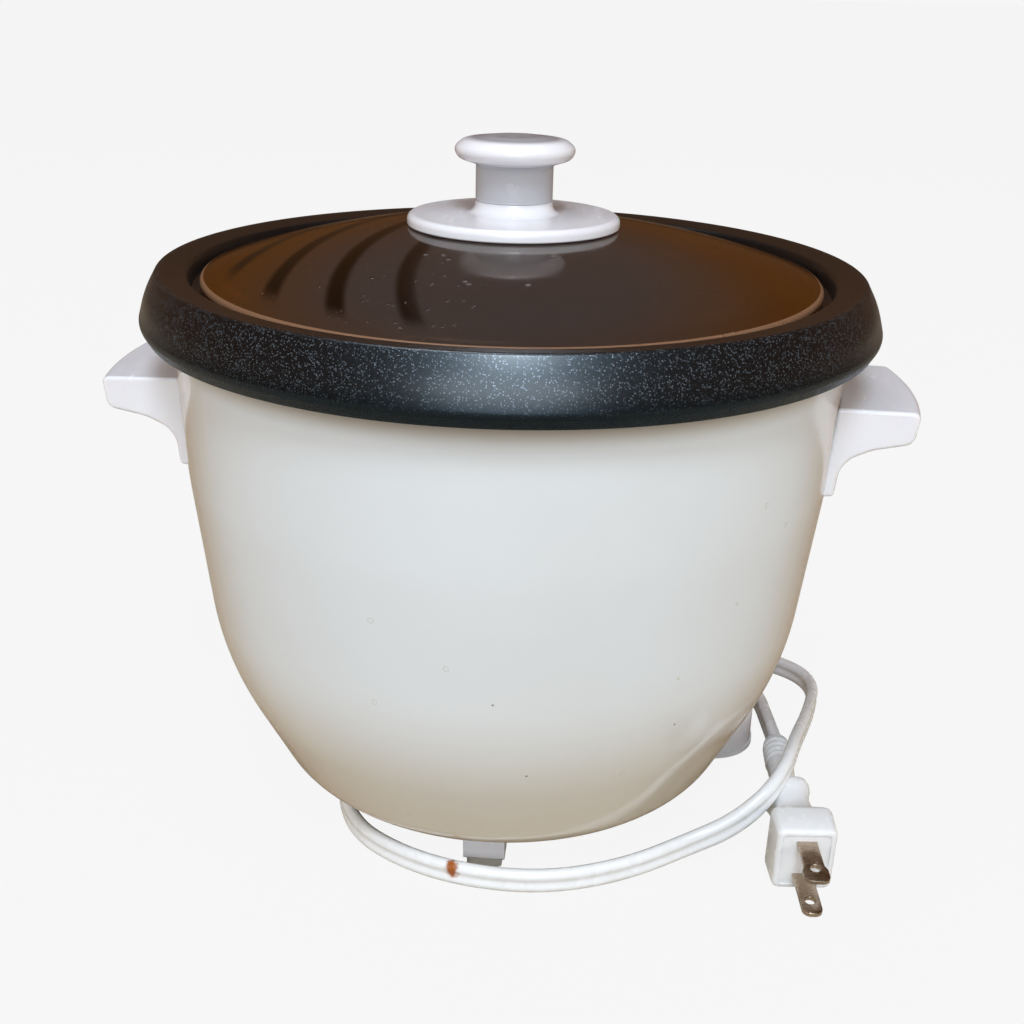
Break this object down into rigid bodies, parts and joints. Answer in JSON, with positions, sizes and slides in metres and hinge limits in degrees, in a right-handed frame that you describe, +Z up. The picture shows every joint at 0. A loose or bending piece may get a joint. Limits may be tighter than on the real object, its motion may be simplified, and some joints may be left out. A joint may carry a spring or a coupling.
{
  "type": "rice cooker",
  "caption": "Electric rice cooker: bowl-shaped white shell, lift-out black coated pot, domed glass lid with knob, side handles, front control housing and a free flat cord.",
  "frame": {"origin": "under the middle of the pot, on the surface the feet stand on", "axes": "+Z up, +Y towards the control housing at the front, handles on +X and -X"},
  "size_m": [0.2594, 0.3288, 0.223],
  "materials": {
    "shell_enamel": "glossy off-white baked enamel with small stains and scratches",
    "pot_coating": "satin near-black nonstick coating with fine metallic speckle",
    "lid_glass": "clear tempered glass, tinted by what it covers",
    "white_plastic": "glossy white moulded plastic",
    "panel_plastic": "satin light grey panel",
    "steel": "zinc-plated or stainless steel",
    "aluminium": "cast or pressed aluminium",
    "rubber": "pale grey rubber",
    "red_lens": "translucent red lens",
    "amber_lens": "translucent amber lens",
    "lever_plastic": "glossy white lever",
    "black_plastic": "black moulded plastic",
    "magnet": "dark sintered magnet",
    "cord_pvc": "glossy white flexible PVC",
    "blade_metal": "worn nickel-plated brass",
    "neon": "small glass neon lamp"
  },
  "bodies": {
    "housing": {"outer_shell": "shell_enamel", "right_handle": "white_plastic", "left_handle": "white_plastic", "handle_screws": "steel", "control_housing": "white_plastic", "panel_face": "panel_plastic", "cook_lens": "red_lens", "cook_lamp": "neon", "warm_lens": "amber_lens", "warm_lamp": "neon", "housing_cover": "white_plastic", "cover_screws": "steel", "base_plate": "steel", "base_screws": "steel", "rear_foot": "white_plastic", "front_foot_pads": "rubber", "rear_foot_pad": "rubber", "inner_heat_shield": "aluminium", "heating_plate": "aluminium", "heating_element": "steel", "heater_posts": "steel", "thermostat_bracket": "steel", "thermostat_spring": "steel", "lever_pin": "steel", "lever_bracket": "steel", "micro_switch": "black_plastic", "terminal_block": "black_plastic", "thermal_fuse": "steel", "keep_warm_band": "steel", "plug_body": "cord_pvc", "plug_blades": "blade_metal", "plug_relief": "cord_pvc", "cord_relief": "cord_pvc", "power_cord": "cord_pvc"},
    "pot": {"inner_pot": "pot_coating"},
    "lid": {"glass_lid": "lid_glass", "knob_flange": "white_plastic", "knob_grip": "white_plastic", "knob_washer": "steel", "knob_screw": "steel"},
    "sensor": {"thermostat_cap": "aluminium", "thermostat_core": "magnet", "thermostat_rod": "steel"},
    "lever": {"cook_lever": "lever_plastic"},
    "magnet_lift": {"magnet_yoke": "steel", "magnet": "magnet"}
  },
  "joints": [
    {"name": "pot_lift", "type": "slide", "parent": "housing", "child": "pot", "axis": [0, 0, 1], "range_m": [0, 0.14]},
    {"name": "lid_lift", "type": "slide", "parent": "pot", "child": "lid", "axis": [0, 0, 1], "range_m": [0, 0.08]},
    {"name": "sensor_press", "type": "slide", "parent": "housing", "child": "sensor", "axis": [0, 0, 1], "range_m": [-0.002, 0], "stiffness_N_per_m": 400, "springref_m": 0.002, "deforming": ["thermostat_spring"]},
    {"name": "lever_press", "type": "hinge", "parent": "housing", "child": "lever", "pos_m": [0, 0.08, 0.026], "axis": [-1, 0, 0], "range_deg": [0, 12], "stiffness_Nm_per_rad": 0.15, "springref_deg": -11.46},
    {"name": "magnet_rise", "type": "slide", "parent": "housing", "child": "magnet_lift", "axis": [0, 0, 1], "range_m": [0, 0.00374]}
  ],
  "couplings": [
    {"joint": "lever_press", "follows": "magnet_rise", "rad_per_m": 55.9}
  ]
}
